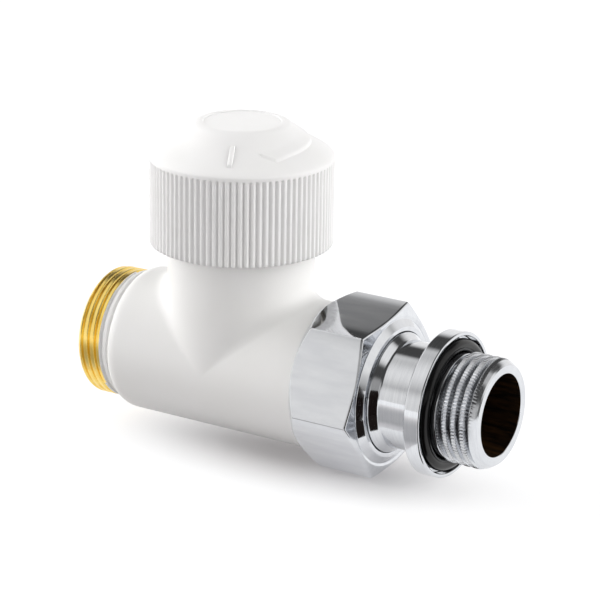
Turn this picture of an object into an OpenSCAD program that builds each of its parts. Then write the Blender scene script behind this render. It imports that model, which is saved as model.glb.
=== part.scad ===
// Straight thermostatic radiator valve with a ribbed hand cap and a union tail piece.
// X runs along the pipe from the inlet end to the outlet, Z up the valve's stem, in millimetres.
// The origin is the centre of the inlet's end face.

/* [Body] */
// Outside diameter of the barrel that runs along the pipe
barrel_d = 28.2; // [27.6:0.1:29]
// Outside diameter of the neck under the cap
neck_d = 28.2; // [27.4:0.1:28.8]
// Distance from the inlet end to the stem's axis
stem_x = 29.8; // [28:0.1:40]
// Distance from the stem's axis to the body's outlet end
outlet_reach = 29.9; // [28:0.1:40]
// Height of the neck's top face above the pipe's axis
neck_top = 24.4; // [23.4:0.1:28]
// Radius of the soft blend between the neck and the barrel
blend_r = 3.4; // [1:0.1:4.5]
// Length of the rounded shoulder between the inlet thread and the barrel
shoulder_len = 2.4; // [1.5:0.1:3]
// Bore of the two ports
port_d = 16.4; // [14:0.1:17]
// Bore of the chamber above the seat
chamber_d = 18.8; // [18:0.1:19]

/* [Inlet thread] */
// Diameter over the inlet thread's crests
inlet_thread_d = 25.3; // [24:0.1:26]
// Pitch of the inlet thread
inlet_pitch = 1.5; // [1.3:0.05:1.8]
// Depth of the inlet thread
inlet_thread_depth = 0.75; // [0.5:0.05:0.9]
// Length of the inlet thread
inlet_thread_len = 7.5; // [6:0.1:10]

/* [Seat] */
// Diameter of the seat's orifice
orifice_d = 11; // [8:0.1:11.6]
// Width of the seat's raised lip
lip_w = 1.1; // [0.8:0.05:1.2]
// Height of the seat's raised lip
lip_h = 0.9; // [0.5:0.05:1.2]
// Thickness of the wall that the seat is cut in
seat_wall = 2.6; // [2:0.1:3]
// Lift of the valve disc from closed to open
lift = 2.6; // [1.5:0.1:2.8]

/* [Valve disc] */
// Diameter of the rubber disc
disc_d = 14.4; // [13.9:0.1:15]
// Thickness of the rubber disc
disc_t = 2.4; // [2:0.1:2.8]
// Wall of the disc's metal cup
cup_wall = 0.7; // [0.5:0.05:0.9]
// Thickness of the cup's back
cup_back = 1.6; // [1:0.1:1.8]

/* [Spindle] */
// Diameter of the spindle and of the pin above it
spindle_d = 3; // [2.6:0.1:3.2]
// Diameter of the spindle's thin lower end
spindle_end_d = 2.4; // [2:0.1:2.5]
// Height of the pin's tip above the head's seating plane when the valve is closed
closing_h = 11.8; // [11.2:0.1:13]
// Wire diameter of the return spring
spring_wire = 0.8; // [0.6:0.05:0.9]
// Turns of the return spring
spring_turns = 5.5; // [4:0.5:7]

/* [Bonnet] */
// Diameter over the crests of the bonnet's head thread
head_thread_d = 29.8; // [29.5:0.05:30]
// Length of the bonnet's head thread
head_thread_len = 5; // [4:0.1:5.6]
// Pitch of the bonnet's head thread
head_pitch = 1.5; // [1.2:0.05:1.6]
// Diameter of the thread that holds the bonnet in the neck
bonnet_thread_d = 21; // [20.4:0.1:22]
// Size across flats of the bonnet's hexagon
bonnet_af = 17; // [15:0.5:19]
// Size across flats of the gland nut
gland_af = 12; // [11:0.5:13]
// Diameter of the gland nut's thread
gland_thread_d = 9.2; // [9:0.1:9.8]

/* [Cap] */
// Wall of the cap's ribbed skirt, over the thread inside it
cap_wall = 2.57; // [2.2:0.01:4]
// Height of the cap's lower edge above the pipe's axis
cap_bottom = 23.3; // [22.5:0.1:24.2]
// Height of the ribbed skirt
skirt_h = 17.1; // [15:0.1:19]
// Height of the cap's cone above the skirt
cone_h = 6.7; // [5:0.1:9]
// Number of ribs round the cap
rib_count = 90; // [60:1:96]
// Depth of the grooves between the ribs
rib_depth = 0.42; // [0.2:0.02:0.5]
// Diameter of the recessed disc on the cap's top
top_disc_d = 14.6; // [10:0.1:16]
// Thickness of the cap's wall at its top
cap_top_wall = 1.9; // [1.5:0.1:2.4]

/* [Union nut] */
// Size across the nut's flats
nut_af = 29.6; // [29.2:0.1:32]
// Length of the nut
nut_len = 14.95; // [13.6:0.05:16]
// Diameter over the crests of the union thread
union_thread_d = 26.4; // [25.6:0.1:26.6]
// Turn of the nut's flats away from level
nut_turn = 8.7; // [0:0.1:30]
// Diameter of the hole in the nut's front
nut_hole_d = 23.2; // [22.8:0.1:23.6]

/* [Tail piece] */
// Diameter of the tail's inner end, inside the nut
tail_head_d = 22.9; // [22.4:0.1:23.1]
// Diameter of the tail's plain tube
tube_d = 20.6; // [19.6:0.1:20.6]
// Length from the nut's front to the flange
tube_len = 8.9; // [8:0.1:14]
// Width of the rim that the flange leaves round its O-ring's recess
flange_rim = 0.8; // [0.6:0.05:1.6]
// Thickness of the flange
flange_t = 3.3; // [3:0.1:4.5]
// Diameter over the crests of the outlet thread
outlet_thread_d = 20.955; // [20.6:0.005:21.2]
// Pitch of the outlet thread
outlet_pitch = 1.814; // [1.5:0.001:2]
// Length from the flange's front to the outlet end
outlet_len = 9.7; // [9.5:0.1:14]
// Bore of the tail piece
tail_bore_d = 15.6; // [14:0.1:16.4]
// Wire diameter of the flange's O-ring
flange_seal_t = 2.5; // [2.2:0.1:2.7]

/* [Hidden] */
$fn = 96;
EPS = 0.01;            // overlap of a cut past the face it opens
thread_gap = 0.05;     // radial gap in a screwed joint that stays put
run_gap = 0.08;        // radial gap in a joint that turns or slides
seat_gap = 0.05;       // gap between the closed disc and its seat
loose_gap = 0.3;       // gap round a piece that moves past another
lift_room = 0.95;      // room left above the open spindle's foot

// The body's levels and stations
edge = 0.4;            // small chamfer of a turned edge
thread_relief = 0.1;   // plain run before a thread's first ridge
barrel_r = barrel_d / 2;
neck_r = neck_d / 2;
body_end = stem_x + outlet_reach;
union_thread_len = 9.95;
union_thread_start = body_end - union_thread_len;
inlet_r = inlet_thread_d / 2;
shoulder_r = inlet_r + 0.3;
pocket_d = 12.6;
port_wall = 4.7;       // wall between a port's end and the pocket under the seat
port_depth = stem_x - pocket_d / 2 - port_wall;
chamber_r = chamber_d / 2;
passage_d = 8.4;
pocket_h = passage_d;
foot_h = 1;
foot_w = 1;            // how far the spindle's foot stands out
bonnet_nose_d = chamber_d - 2 * thread_gap;

// The bonnet, from its nose up to its hexagon
bonnet_seal_t = 1.8;
seal_land = 0.9;       // wall under the seal's groove
nose_bottom = lip_h + seat_gap + disc_t + cup_back + foot_h + lift + lift_room;
neck_thread_bottom = nose_bottom + bonnet_seal_t + 2.3;
head_thread_depth = 0.7;
seating_plane = neck_top + 1.8;
head_thread_top = seating_plane + head_thread_len;
bonnet_top = head_thread_top + 0.9;
bonnet_hex_h = 2;
gland_seat = bonnet_top + bonnet_hex_h;
gland_head_h = 2.1;
gland_thread_h = 6.6;
gland_bottom = gland_seat - gland_thread_h;
spring_floor = nose_bottom + 2.5;
spring_room_d = 8.8;
gland_seal_t = 1.5;
gland_washer_t = 0.7;

// The moving train, at rest with the valve closed
disc_bottom = lip_h + seat_gap;
cup_bottom = disc_bottom + disc_t / 2;
cup_top = disc_bottom + disc_t + cup_back;
pin_tip = seating_plane + closing_h;
clip_t = 0.6;
clip_w = 1.2;          // how far the clip stands out
plate_t = 0.8;
plate_room = 4;        // room over the plate when the valve is open
plate_bottom = gland_bottom - lift - plate_room;
clip_bottom = plate_bottom + plate_t;
pin_foot = 1.6;        // how far the pin reaches below the gland
spindle_top = gland_bottom - pin_foot;
disc_washer_t = 0.7;
disc_washer_w = 2;
disc_nut_h = 1.4;
disc_nut_af = 4.6;
disc_hole_gap = 0.03;  // radial gap of the pieces on the spindle's thin end
spring_r = 3.2;

// The union and the tail piece
nut_back = union_thread_start + 0.1;
nut_front = nut_back + nut_len;
gasket_t = 1;
tail_start = body_end + gasket_t;
nut_shoulder = body_end + 0.4;
nut_hex_r = nut_af / 2 / cos(30);
nut_rim_r = nut_af / 2 - 1;
nut_nose = 0.95;       // length of the cone from the front face down to the hole
nut_back_chamfer = 2.1;
nut_front_chamfer = 0.65;
ring_wire = 1.3;
ring_r = nut_hole_d / 4 + tail_head_d / 4;
ring_x = tail_start + 1.7;
flange_back = nut_front + tube_len;
flange_front = flange_back + flange_t;
tail_end = flange_front + outlet_len;
outlet_thread_depth = 1.16;
outlet_thread_start = flange_front + 1.5;
outlet_chamfer = 0.6;
seal_groove_r = outlet_thread_d / 2 - 0.5;
seal_r = seal_groove_r + flange_seal_t / 2;
seal_recess = 1.8;
seal_room = 0.52;      // room round the O-ring in the recess
flange_d = 2 * (seal_groove_r + flange_seal_t + seal_room + flange_rim);

// The cap's levels
skirt_top = cap_bottom + skirt_h;
cap_top = skirt_top + cone_h;
cap_thread_d = head_thread_d + 2 * run_gap;
cap_r = cap_thread_d / 2 + cap_wall;

// Turns what stands along Z round to lie along X.
module along_x(x = 0) {
    translate([x, 0, 0]) rotate([0, 90, 0]) children();
}

// Puts a piece on the stem's axis at a height.
module on_stem(z = 0) {
    translate([stem_x, 0, z]) children();
}

// A ring of rectangular section round Z.
module washer(outer_d, hole_d, t) {
    difference() {
        cylinder(d = outer_d, h = t);
        translate([0, 0, -EPS]) cylinder(d = hole_d, h = t + 2 * EPS);
    }
}

// An O-ring round Z.
module o_ring(mean_r, wire_d) {
    rotate_extrude() translate([mean_r, 0]) circle(d = wire_d, $fn = 32);
}

// A hexagon bar round Z, given by its size across flats.
module hex_bar(af, h) {
    cylinder(r = af / 2 / cos(30), h = h, $fn = 6);
}

// Outline points [radius, height] of thread ridges that start at a height.
function ridges(start, len, pitch, crest_r, depth) = [
    for (i = [0 : floor(len / pitch + EPS) - 1], p = [[0, 1], [0.3, 0], [0.55, 0], [0.85, 1]])
        [crest_r - depth * p[1], start + (i + p[0]) * pitch]
];

// Outline points of an arc from one angle to another.
function arc(cx, cy, r, from, to, steps) = [
    for (i = [0 : steps]) let (a = from + (to - from) * i / steps) [cx + r * cos(a), cy + r * sin(a)]
];

// The soft blend in the corner between the neck and the barrel, on one side of the neck.
// Its section is a hollow arc at every y, and it sinks into the two before it ends.
module neck_blend(side) {
    steps = 20;
    arc_steps = 7;
    sunk = 0.15;
    root = 1.5;
    reach = min(neck_r, barrel_r) * 0.97;
    sections = [
        for (i = [0 : steps])
            let (
                y = -reach * cos(180 * i / steps),
                wn = sqrt(neck_r * neck_r - y * y),
                wb = sqrt(barrel_r * barrel_r - y * y),
                r = blend_r * sin(180 * i / steps) + 0.6 * sunk,
                hollow = arc(wn + r - sunk, wb + r - sunk, r, 170, 280, arc_steps)
            )
            concat(
                [[side * (wn - root), y, wb - root]],
                [for (p = hollow) [side * p[0], y, p[1]]]
            )
    ];
    n = len(sections[0]);
    walls = [
        for (i = [0 : steps - 1], j = [0 : n - 1])
            let (k = (j + 1) % n)
            [i * n + j, (i + 1) * n + j, (i + 1) * n + k, i * n + k]
    ];
    ends = [[for (j = [0 : n - 1]) j], [for (j = [n - 1 : -1 : 0]) steps * n + j]];
    flip = side < 0;
    faces = concat(walls, ends);
    on_stem() polyhedron(
        points = [for (s = sections, p = s) p],
        faces = flip ? [for (f = faces) [for (j = [len(f) - 1 : -1 : 0]) f[j]]] : faces
    );
}

// One brass forging with both threads, the seat and the neck, painted after machining.
module valve_body() {
    color("white")
    difference() {
        union() {
            along_x() rotate_extrude() polygon(concat(
                [[0, 0], [inlet_r - inlet_thread_depth, 0]],
                ridges(thread_relief, inlet_thread_len, inlet_pitch, inlet_r, inlet_thread_depth),
                [[inlet_r - inlet_thread_depth, inlet_thread_len]],
                [for (a = [0 : 15 : 90])
                    [shoulder_r + (barrel_r - shoulder_r) * sin(a),
                     inlet_thread_len + shoulder_len * (1 - cos(a))]],
                [[barrel_r, union_thread_start - edge], [barrel_r - edge, union_thread_start],
                 [union_thread_d / 2, union_thread_start], [union_thread_d / 2, body_end - 2 * edge],
                 [union_thread_d / 2 - 2 * edge, body_end], [0, body_end]]
            ));
            on_stem() cylinder(r = neck_r, h = neck_top);
            neck_blend(1);
            neck_blend(-1);
        }
        // the two ports, and the passages that lead under and over the seat
        along_x(-EPS) cylinder(d = port_d, h = port_depth + EPS);
        translate([port_depth - 2, 0, -seat_wall - passage_d / 2]) along_x()
            cylinder(d = passage_d, h = stem_x - port_depth + 2);
        on_stem(-seat_wall - pocket_h) cylinder(d = pocket_d, h = pocket_h);
        on_stem(-seat_wall - EPS) cylinder(d = orifice_d, h = seat_wall + lip_h + 1);
        along_x(2 * stem_x - port_depth) cylinder(d = port_d, h = body_end);
        on_stem(passage_d / 2 + 1) rotate([0, 90, 0]) cylinder(d = passage_d, h = stem_x - port_depth + 2);
        // the chamber, with the seat's lip left standing, and the bonnet's thread
        difference() {
            on_stem() cylinder(r = chamber_r, h = neck_top + EPS);
            on_stem(-EPS) cylinder(d = orifice_d + 2 * lip_w, h = lip_h + EPS);
        }
        on_stem(neck_thread_bottom) cylinder(d = bonnet_thread_d, h = neck_top);
    }
}

// Turned brass housing of the valve insert, screwed into the neck.
module bonnet() {
    hole_r = spindle_d / 2 + run_gap;
    r_in_neck = bonnet_thread_d / 2 - thread_gap;
    color("goldenrod")
    on_stem() difference() {
        union() {
            rotate_extrude() difference() {
                polygon(concat(
                    [[0, nose_bottom], [bonnet_nose_d / 2, nose_bottom],
                     [bonnet_nose_d / 2, neck_thread_bottom], [r_in_neck, neck_thread_bottom],
                     [r_in_neck, neck_top], [neck_r - 0.3, neck_top], [neck_r - 0.3, seating_plane]],
                    ridges(seating_plane + thread_relief, head_thread_len, head_pitch,
                           head_thread_d / 2, head_thread_depth),
                    [[head_thread_d / 2 - head_thread_depth, head_thread_top],
                     [head_thread_d / 2 - head_thread_depth - 0.9, bonnet_top], [0, bonnet_top]]
                ));
                translate([bonnet_nose_d / 2 - bonnet_seal_t + 0.1, nose_bottom + seal_land])
                    square([bonnet_seal_t, bonnet_seal_t + 0.2]);
            }
            translate([0, 0, bonnet_top - EPS]) hex_bar(bonnet_af, bonnet_hex_h + EPS);
        }
        translate([0, 0, nose_bottom - EPS]) cylinder(r = hole_r, h = neck_top);
        translate([0, 0, spring_floor]) cylinder(d = spring_room_d, h = gland_bottom - spring_floor);
        translate([0, 0, gland_bottom - EPS]) cylinder(d = gland_thread_d, h = gland_thread_h + 1);
        translate([0, 0, gland_seat - gland_seal_t * 0.9])
            cylinder(d = gland_thread_d + 2 * gland_seal_t, h = gland_seal_t);
    }
}

// O-ring round the bonnet's nose.
module bonnet_seal() {
    color("dimgray")
    on_stem(nose_bottom + seal_land + 0.1 + bonnet_seal_t / 2)
        o_ring(bonnet_nose_d / 2 - bonnet_seal_t / 2 + 0.05, bonnet_seal_t - 0.1);
}

// Small brass nut that holds the pin's seal and can be changed under pressure.
module gland_nut() {
    color("gold")
    on_stem() difference() {
        union() {
            translate([0, 0, gland_bottom])
                cylinder(d = gland_thread_d - 2 * thread_gap, h = gland_thread_h + EPS);
            translate([0, 0, gland_seat]) hex_bar(gland_af, gland_head_h);
        }
        translate([0, 0, gland_bottom - EPS]) cylinder(d = spindle_d + 2 * run_gap, h = 2 * gland_thread_h);
        translate([0, 0, gland_bottom - EPS])
            cylinder(d = spindle_d + 2 * gland_seal_t, h = gland_washer_t + gland_seal_t + 0.2);
    }
}

// O-ring under the gland nut's head.
module gland_seal() {
    color("dimgray")
    on_stem(gland_seat - gland_seal_t * 0.45)
        o_ring(gland_thread_d / 2 + gland_seal_t / 2, gland_seal_t * 0.88);
}

// O-ring that wipes the pin, inside the gland nut.
module spindle_seal() {
    color("dimgray")
    on_stem(gland_bottom + gland_washer_t + gland_seal_t / 2)
        o_ring(spindle_d / 2 + gland_seal_t / 2 + 0.03, gland_seal_t - 0.06);
}

// Backing washer that keeps the pin's seal in the gland nut.
module gland_washer() {
    color("gold")
    on_stem(gland_bottom)
        washer(spindle_d + 2 * gland_seal_t - 0.04, spindle_d + 2 * run_gap, gland_washer_t);
}

// Stainless pin that the cap or a head pushes down.
module pressure_pin() {
    color("lightgray")
    on_stem(spindle_top) rotate_extrude() polygon([
        [0, 0], [spindle_d / 2, 0], [spindle_d / 2, pin_tip - spindle_top - 0.4],
        [spindle_d / 2 - 0.4, pin_tip - spindle_top], [0, pin_tip - spindle_top]
    ]);
}

// Stainless spindle that carries the disc, with a foot, a clip groove and a thin threaded end.
module valve_spindle() {
    color("lightgray")
    on_stem() difference() {
        union() {
            translate([0, 0, cup_top]) cylinder(d = spindle_d, h = spindle_top - cup_top);
            translate([0, 0, cup_top]) cylinder(d = spindle_d + 2 * foot_w, h = foot_h);
            translate([0, 0, disc_bottom - disc_washer_t - disc_nut_h - 0.3])
                cylinder(d = spindle_end_d, h = cup_top - disc_bottom + disc_washer_t + disc_nut_h + 0.4);
        }
        translate([0, 0, clip_bottom]) washer(spindle_d + 1, spindle_d - 0.8, clip_t);
    }
}

// Open clip in the spindle's groove, which takes the spring's push.
module spindle_clip() {
    color("silver")
    on_stem(clip_bottom + 0.02) difference() {
        washer(spindle_d + 2 * clip_w, spindle_d - 0.7, clip_t - 0.04);
        translate([0, -spindle_d / 3, -EPS]) cube([spindle_d * 2, spindle_d * 2 / 3, clip_t + 1]);
    }
}

// Plate between the spring and the clip.
module spring_plate() {
    color("silver")
    on_stem(plate_bottom) washer(spring_r * 2 + spring_wire + 0.4, spindle_d + 2 * run_gap, plate_t);
}

// Stainless spring that lifts the spindle off the seat.
module return_spring() {
    sides = 8;
    per_turn = 20;
    rings = round(spring_turns * per_turn);
    z0 = spring_floor + spring_wire / 2 + 0.02;
    z1 = plate_bottom - spring_wire / 2 - 0.02;
    function centre(i) = let (t = i / rings) [
        spring_r * cos(t * spring_turns * 360),
        spring_r * sin(t * spring_turns * 360),
        z0 + (z1 - z0) * t
    ];
    points = [
        for (i = [0 : rings], j = [0 : sides - 1])
            let (c = centre(i), a = i / rings * spring_turns * 360, b = j * 360 / sides, w = spring_wire / 2)
            c + [w * cos(b) * cos(a), w * cos(b) * sin(a), w * sin(b)]
    ];
    walls = [
        for (i = [0 : rings - 1], j = [0 : sides - 1])
            let (k = (j + 1) % sides)
            [i * sides + j, i * sides + k, (i + 1) * sides + k, (i + 1) * sides + j]
    ];
    ends = [[for (j = [sides - 1 : -1 : 0]) j], [for (j = [0 : sides - 1]) rings * sides + j]];
    color("silver") on_stem() polyhedron(points = points, faces = concat(walls, ends));
}

// Brass cup that backs the rubber disc.
module disc_cup() {
    color("goldenrod")
    on_stem() difference() {
        translate([0, 0, cup_bottom]) cylinder(d = disc_d + 2 * cup_wall, h = cup_top - cup_bottom);
        translate([0, 0, cup_bottom - EPS])
            cylinder(d = disc_d + 0.04, h = cup_top - cup_back - cup_bottom + EPS);
        translate([0, 0, cup_bottom]) cylinder(d = spindle_end_d + 2 * disc_hole_gap, h = cup_top);
    }
}

// Rubber disc that closes on the seat.
module valve_disc() {
    color("dimgray")
    on_stem(disc_bottom) washer(disc_d, spindle_end_d + 2 * disc_hole_gap, disc_t);
}

// Washer under the rubber disc, inside the seat's orifice.
module disc_washer() {
    color("gold")
    on_stem(disc_bottom - disc_washer_t)
        washer(spindle_end_d + 2 * disc_washer_w, spindle_end_d + 2 * disc_hole_gap, disc_washer_t);
}

// Nut on the spindle's thin end.
module disc_nut() {
    color("gold")
    on_stem(disc_bottom - disc_washer_t - disc_nut_h) difference() {
        hex_bar(disc_nut_af, disc_nut_h);
        translate([0, 0, -EPS]) cylinder(d = spindle_end_d + 2 * disc_hole_gap, h = disc_nut_h + 1);
    }
}

// Outer outline of the cap's cone: [radius, height] from the skirt up to the rim of the top disc.
function cap_cone() = let (rim = top_disc_d / 2, w = cap_r - rim) [
    for (p = [[0.98, -0.02], [0.96, 0.09], [0.88, 0.19], [0.73, 0.33], [0.58, 0.46],
              [0.455, 0.6], [0.345, 0.74], [0.24, 0.87], [0.17, 0.95], [0.1, 0.99], [0.05, 1]])
        [rim + w * p[0], skirt_top + cone_h * p[1]]
];

// White moulded cap: ribbed skirt, threaded sleeve, a boss that holds the pin down, and its marks.
module hand_cap() {
    groove_r = 0.34;
    boss_d = 7;
    boss_end = pin_tip + seat_gap;
    disc_level = cap_top - 0.45;
    ceiling = disc_level - cap_top_wall;
    lead_in = seating_plane - 0.6;
    sleeve_top = head_thread_top + 2.6;
    mark_angle = -65.8;
    pad_from = -37;
    pad_to = 150;
    color("whitesmoke")
    on_stem() {
        difference() {
            union() {
                rotate_extrude() polygon(concat(
                    [[0, cap_bottom], [cap_r - 0.9, cap_bottom], [cap_r - 0.25, cap_bottom + 0.3],
                     [cap_r, cap_bottom + 1], [cap_r - 0.1, skirt_top - 0.4]],
                    cap_cone(),
                    [[top_disc_d / 2 + 0.1, cap_top - 0.15], [top_disc_d / 2, disc_level], [0, disc_level]]
                ));
                rotate([0, 0, mark_angle]) mark_bar();
                mark_pad(pad_from, pad_to);
            }
            for (i = [0 : rib_count - 1]) rotate([0, 0, i * 360 / rib_count])
                translate([cap_r - rib_depth + groove_r, 0, cap_bottom - 1])
                    cylinder(r = groove_r, h = skirt_h + 3, $fn = 16);
            translate([0, 0, cap_bottom - EPS])
                cylinder(d = cap_thread_d + 1, h = lead_in - cap_bottom + EPS);
            translate([0, 0, cap_bottom]) cylinder(d = cap_thread_d, h = sleeve_top - cap_bottom);
            difference() {
                translate([0, 0, sleeve_top - EPS]) rotate_extrude() polygon([
                    [0, 0], [cap_thread_d / 2 - 0.6, 0],
                    [cap_thread_d / 2 - 0.6, skirt_top - sleeve_top - 1.2],
                    [top_disc_d / 2 - 0.6, ceiling - sleeve_top], [0, ceiling - sleeve_top]
                ]);
                translate([0, 0, boss_end]) cylinder(d = boss_d, h = cap_top);
            }
        }
    }
}

// Raised radial bar that marks the cap's cone.
module mark_bar() {
    w = 0.85;
    cone = cap_cone();
    inner = cone[6];
    outer = cone[2];
    tilt = atan2(outer[1] - inner[1], outer[0] - inner[0]);
    run = norm(outer - inner);
    translate([inner[0], 0, inner[1]]) rotate([0, -tilt, 0])
        translate([0, -w / 2, -1]) cube([run, w, 1.3]);
}

// Raised pad that narrows as it winds round the cone.
module mark_pad(from, to) {
    steps = 24;
    rise = 0.3;
    intersection() {
        rotate_extrude() polygon(concat(
            [[0, skirt_top], [cap_r - 2, skirt_top]],
            [for (p = cap_cone()) p + (cap_top - p[1]) / cone_h * [rise, rise * 1.5]],
            [[top_disc_d / 2 + 1, cap_top - 0.4], [0, cap_top - 0.5]]
        ));
        translate([0, 0, skirt_top]) linear_extrude(cone_h + 2) polygon(concat(
            [[(top_disc_d / 2 + 1) * cos(from - 12), (top_disc_d / 2 + 1) * sin(from - 12)]],
            [for (i = [0 : steps]) let (
                t = i / steps,
                a = from + (to - from) * t,
                r = cap_r - 3 - (cap_r - top_disc_d / 2 - 4) * t
            ) [r * cos(a), r * sin(a)]],
            [for (i = [steps : -1 : 1]) let (a = from + (to - from) * i / steps, r = top_disc_d / 2 + 0.6)
                [r * cos(a), r * sin(a)]]
        ));
    }
}

// Flat gasket between the body's end and the tail piece.
module union_gasket() {
    color("dimgray")
    along_x(body_end) washer(tail_head_d - 0.4, port_d + 0.4, gasket_t);
}

// Chrome-plated brass tail: head, tube, flange with its seal's recess, and the outlet thread, in one piece.
module tail_piece() {
    head_r = tail_head_d / 2;
    bore_r = tail_bore_d / 2;
    cone_start = nut_front + 0.25;
    crest_r = outlet_thread_d / 2;
    root_r = crest_r - outlet_thread_depth;
    past_end = tail_end + outlet_pitch;
    color("silver")
    along_x() rotate_extrude() difference() {
        polygon(concat(
            [[bore_r, tail_start], [head_r, tail_start], [head_r, cone_start],
             [tube_d / 2, cone_start + 1.4], [tube_d / 2, flange_back],
             [flange_d / 2 - 0.2, flange_back], [flange_d / 2, flange_back + 0.3],
             [flange_d / 2, flange_front - 0.3], [flange_d / 2 - 0.2, flange_front],
             [flange_d / 2 - 0.7, flange_front], [flange_d / 2 - 0.8, flange_front - seal_recess],
             [seal_groove_r, flange_front - seal_recess],
             [seal_groove_r, outlet_thread_start - thread_relief], [root_r, outlet_thread_start]],
            ridges(outlet_thread_start, past_end - outlet_thread_start, outlet_pitch,
                   crest_r, outlet_thread_depth),
            [[root_r, past_end + EPS], [bore_r, past_end + EPS]]
        ));
        // the end is faced off, with a chamfer on the thread and a small one in the bore
        polygon([
            [bore_r - 1, tail_end - 0.3], [bore_r, tail_end - 0.3], [bore_r + 0.25, tail_end],
            [crest_r - outlet_chamfer, tail_end], [crest_r + 0.1, tail_end - outlet_chamfer - 0.1],
            [crest_r + 1, tail_end - outlet_chamfer - 0.1], [crest_r + 1, past_end + 1],
            [bore_r - 1, past_end + 1]
        ]);
        translate([ring_r - ring_wire / 2, ring_x - ring_wire / 2])
            square([ring_wire, ring_wire]);
    }
}

// Split wire ring that keeps the nut on the tail.
module nut_ring() {
    color("silver")
    along_x(ring_x) rotate([0, 0, 100]) rotate_extrude(angle = 330)
        translate([ring_r, 0]) circle(d = ring_wire - 0.02, $fn = 24);
}

// Black O-ring in the flange's recess, which seals the outlet against the radiator.
module flange_seal() {
    color("black")
    along_x(flange_front - seal_recess + flange_seal_t / 2 + 0.01)
        o_ring(seal_r + 0.02, flange_seal_t);
}

// Chrome-plated union nut with a thread bore, a shoulder and a groove for the split ring.
module union_nut() {
    corner_r = nut_hex_r - 0.15;
    groove_w = ring_wire + 2 * loose_gap;
    color("lightgray")
    along_x(nut_back) rotate([0, 0, 30 + nut_turn]) difference() {
        intersection() {
            hex_bar(nut_af, nut_len);
            rotate_extrude() polygon([
                [0, 0], [nut_af / 2 - 0.2, 0], [corner_r, nut_back_chamfer],
                [corner_r, nut_len - nut_nose - nut_front_chamfer],
                [nut_af / 2 - 0.3, nut_len - nut_nose], [nut_rim_r, nut_len - nut_nose],
                [nut_hole_d / 2 + 0.3, nut_len - 0.1], [nut_hole_d / 2, nut_len], [0, nut_len]
            ]);
        }
        translate([0, 0, -EPS]) cylinder(d = union_thread_d + 2 * run_gap, h = nut_shoulder - nut_back + EPS);
        translate([0, 0, -EPS]) cylinder(d = nut_hole_d, h = nut_len + 1);
        translate([0, 0, ring_x - nut_back - groove_w / 2])
            cylinder(r = ring_r + ring_wire / 2 + loose_gap, h = groove_w);
    }
}

valve_body();
bonnet();
bonnet_seal();
gland_nut();
gland_seal();
spindle_seal();
gland_washer();
pressure_pin();
valve_spindle();
spindle_clip();
spring_plate();
return_spring();
disc_cup();
valve_disc();
disc_washer();
disc_nut();
hand_cap();
union_gasket();
tail_piece();
nut_ring();
flange_seal();
union_nut();
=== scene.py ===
# Straight radiator valve: white painted body, ribbed hand cap, chrome union nut and chrome tail piece.
# Sizes are in millimetres in the drawing's own frame: the origin is the centre of the inlet's end face,
# X runs along the pipe to the outlet and Z up the stem.
import math

import bmesh
import bpy
import numpy as np
from mathutils import Matrix, Vector


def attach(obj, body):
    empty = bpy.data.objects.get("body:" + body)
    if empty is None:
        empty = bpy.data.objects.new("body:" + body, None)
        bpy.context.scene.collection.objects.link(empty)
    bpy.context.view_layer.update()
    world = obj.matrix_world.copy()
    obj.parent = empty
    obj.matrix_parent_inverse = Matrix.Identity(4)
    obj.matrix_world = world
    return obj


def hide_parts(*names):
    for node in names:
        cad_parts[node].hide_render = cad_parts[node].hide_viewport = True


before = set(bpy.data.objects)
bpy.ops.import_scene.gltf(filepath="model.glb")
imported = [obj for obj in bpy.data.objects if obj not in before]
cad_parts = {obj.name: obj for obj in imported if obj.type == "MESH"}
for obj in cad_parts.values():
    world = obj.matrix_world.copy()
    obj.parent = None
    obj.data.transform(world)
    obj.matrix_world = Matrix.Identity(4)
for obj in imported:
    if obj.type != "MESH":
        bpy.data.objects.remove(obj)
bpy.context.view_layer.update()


# VALVE BODY
# One hot forged brass piece, bored, threaded at both ends and sprayed with white gloss paint.
# The paint stops at the third ridge of the inlet thread, and the bores and threads are left bare.

stem_x = 29.8
barrel_r = 14.1
neck_top = 24.4
blend_r = 3.4
columns = 192


def linear(hex_colour):
    """A linear RGBA colour from an sRGB hex value."""
    parts = [int(hex_colour[i : i + 2], 16) / 255 for i in (1, 3, 5)]
    return tuple(c / 12.92 if c <= 0.04045 else ((c + 0.055) / 1.055) ** 2.4 for c in parts) + (1.0,)


def node(material, kind, settings=None, links=None):
    """Adds a shader node. A setting goes to the socket of that name or number, or else to the property."""
    made = material.node_tree.nodes.new(kind)
    for key, value in (settings or {}).items():
        if isinstance(key, int) or key in made.inputs:
            made.inputs[key].default_value = value
        else:
            setattr(made, key, value)
    for key, source in (links or {}).items():
        material.node_tree.links.new(source, made.inputs[key])
    return made


def new_material(name, roughness, metallic=0.0, **sockets):
    """A material with its main shader, and that shader."""
    material = bpy.data.materials.new(name)
    material.use_nodes = True
    shader = material.node_tree.nodes["Principled BSDF"]
    shader.inputs["Roughness"].default_value = roughness
    shader.inputs["Metallic"].default_value = metallic
    for key, value in sockets.items():
        shader.inputs[key.replace("_", " ")].default_value = value
    return material, shader


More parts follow.
